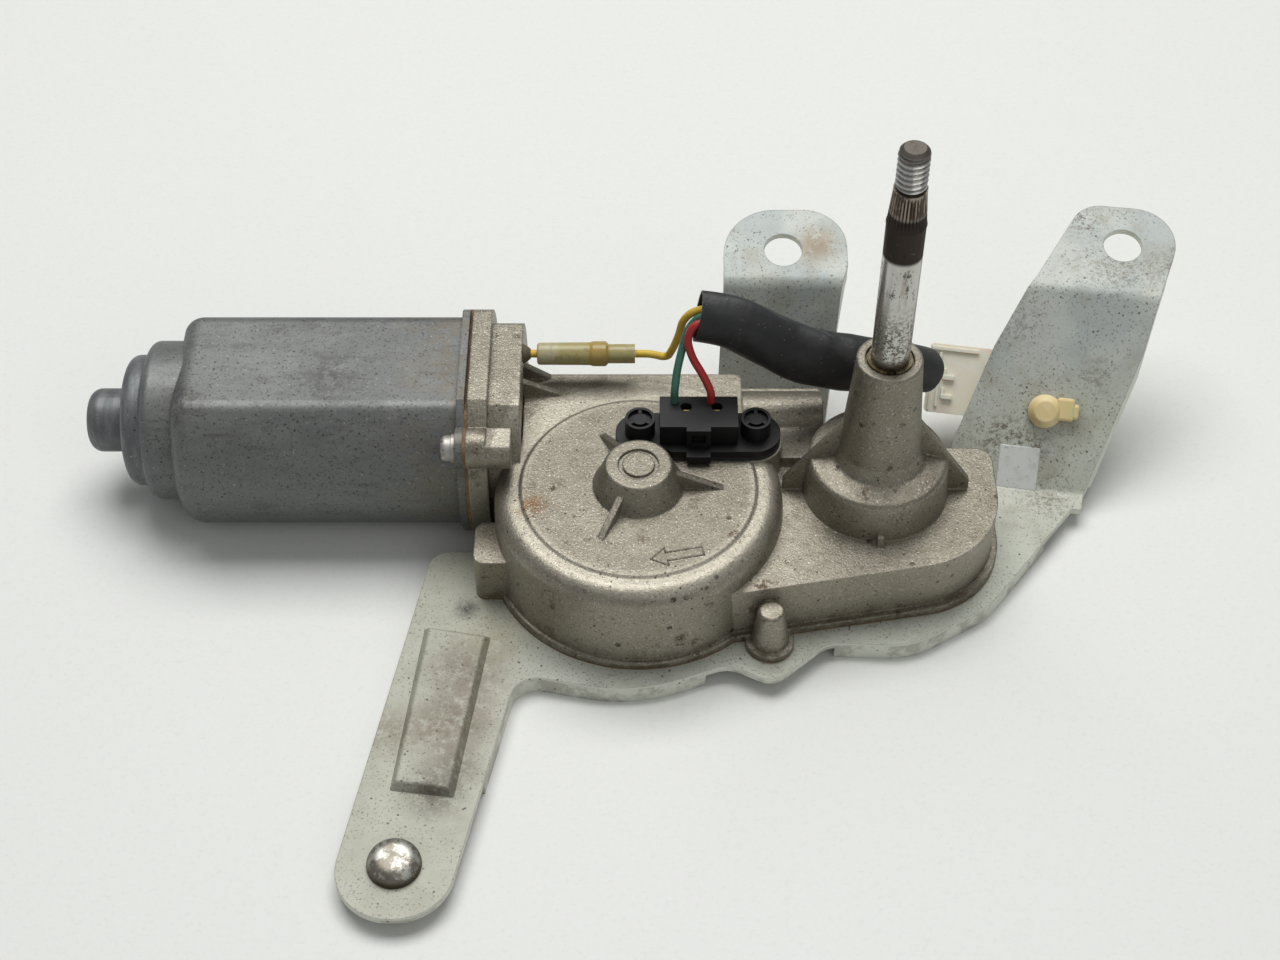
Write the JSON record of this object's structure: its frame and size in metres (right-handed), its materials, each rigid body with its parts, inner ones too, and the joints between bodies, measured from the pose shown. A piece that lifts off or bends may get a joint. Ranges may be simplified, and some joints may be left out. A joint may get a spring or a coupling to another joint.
{
  "type": "wiper motor",
  "caption": "Windscreen wiper motor: drawn motor can, cast worm gearbox with tall bearing tower and knurled threaded shaft, three-point bracket, sleeved wires with plug.",
  "frame": {"origin": "centre of the output shaft's bearing tower at its top face, where the shaft leaves it", "axes": "+Z along the output shaft, away from the gearbox; -X along the gearbox towards the motor can, square to the shaft; +Y towards the two bracket arms"},
  "size_m": [0.31, 0.2078, 0.1442],
  "materials": {
    "cast": "as-cast, satin",
    "can_steel": "satin grey paint",
    "plate_steel": "zinc plated, pale",
    "steel": "turned and ground",
    "screw_steel": "zinc plated, stained",
    "bronze": "sintered bronze",
    "brass": "bare",
    "copper": "enamelled wire",
    "black_rubber": "matt",
    "gasket": "matt",
    "black_plastic": "matt",
    "clear_plastic": "clear, yellowed",
    "white_plastic": "milky, semi-matt",
    "gear_plastic": "matt acetal",
    "clip_plastic": "amber, semi-matt",
    "brown_board": "phenolic board",
    "ferrite": "sintered ferrite",
    "iron": "laminated",
    "carbon": "carbon",
    "yellow_pvc": "insulated wire",
    "red_pvc": "insulated wire",
    "green_pvc": "insulated wire",
    "tin": "tinned"
  },
  "bodies": {
    "case": {"gearbox_housing": "cast", "cover_gasket": "gasket", "mounting_bracket": "plate_steel", "cover_screws": "screw_steel", "locating_stud": "steel", "lower_bush": "bronze", "upper_bush": "bronze", "collar_washer": "steel", "shaft_seal": "black_rubber", "shaft_washer": "steel", "wheel_axle": "steel", "motor_yoke": "can_steel", "yoke_gasket": "gasket", "yoke_screws": "screw_steel", "yoke_washers": "screw_steel", "magnets": "ferrite", "rear_bearing": "bronze", "rear_thrust_washer": "steel", "front_bearing": "bronze", "worm_end_bush": "bronze", "thrust_ball": "steel", "thrust_screw": "steel", "brush_plate": "brown_board", "brush_holders": "brass", "brushes": "carbon", "brush_springs": "steel", "switch_seal": "black_rubber", "switch_base": "black_plastic", "terminal_housing": "black_plastic", "switch_terminals": "brass", "contact_fingers": "brass", "switch_pins": "black_plastic", "red_wire": "red_pvc", "green_wire": "green_pvc", "yellow_wire": "yellow_pvc", "harness_sleeve": "black_rubber", "lead_grommet": "black_rubber", "motor_lead": "yellow_pvc", "bullet_plug": "tin", "bullet_socket": "tin", "bullet_sleeve": "clear_plastic", "connector_housing": "white_plastic", "connector_pins": "tin", "harness_clip": "clip_plastic"},
    "armature": {"armature_shaft": "steel", "lamination_stack": "iron", "armature_windings": "copper", "commutator": "copper"},
    "wheel": {"worm_wheel": "gear_plastic", "contact_ring": "brass"},
    "output": {"output_shaft": "steel", "output_pinion": "steel", "shaft_circlip": "steel"},
    "rocker": {"lower_link": "steel", "upper_link": "steel", "rocker_pin": "steel"},
    "rod": {"connecting_rod": "steel", "crank_pin": "steel"}
  },
  "joints": [
    {"name": "armature_spin", "type": "hinge", "parent": "case", "child": "armature", "pos_m": [-0.16, 0.0266, -0.0511], "axis": [1, 0, 0], "continuous": true},
    {"name": "wheel_spin", "type": "hinge", "parent": "case", "child": "wheel", "pos_m": [-0.065, -0.0075, -0.0498], "axis": [0, 0, 1], "continuous": true},
    {"name": "output_swing", "type": "hinge", "parent": "case", "child": "output", "pos_m": [0, 0, -0.03], "axis": [0, 0, 1], "range_deg": [0, 148.44]},
    {"name": "rocker_swing", "type": "hinge", "parent": "case", "child": "rocker", "pos_m": [0, 0, -0.0628], "axis": [0, 0, 1], "range_deg": [0, 48]},
    {"name": "rod_turn", "type": "hinge", "parent": "rocker", "child": "rod", "pos_m": [-0.00813, -0.01827, -0.0628], "axis": [0, 0, 1], "range_deg": [-45.65, 0]}
  ],
  "couplings": [
    {"joint": "wheel_spin", "follows": "armature_spin", "ratio": 0.016667},
    {"joint": "rocker_swing", "follows": "output_swing", "ratio": 0.32337},
    {"joint": "rod_turn", "follows": "output_swing", "ratio": -0.30756}
  ]
}
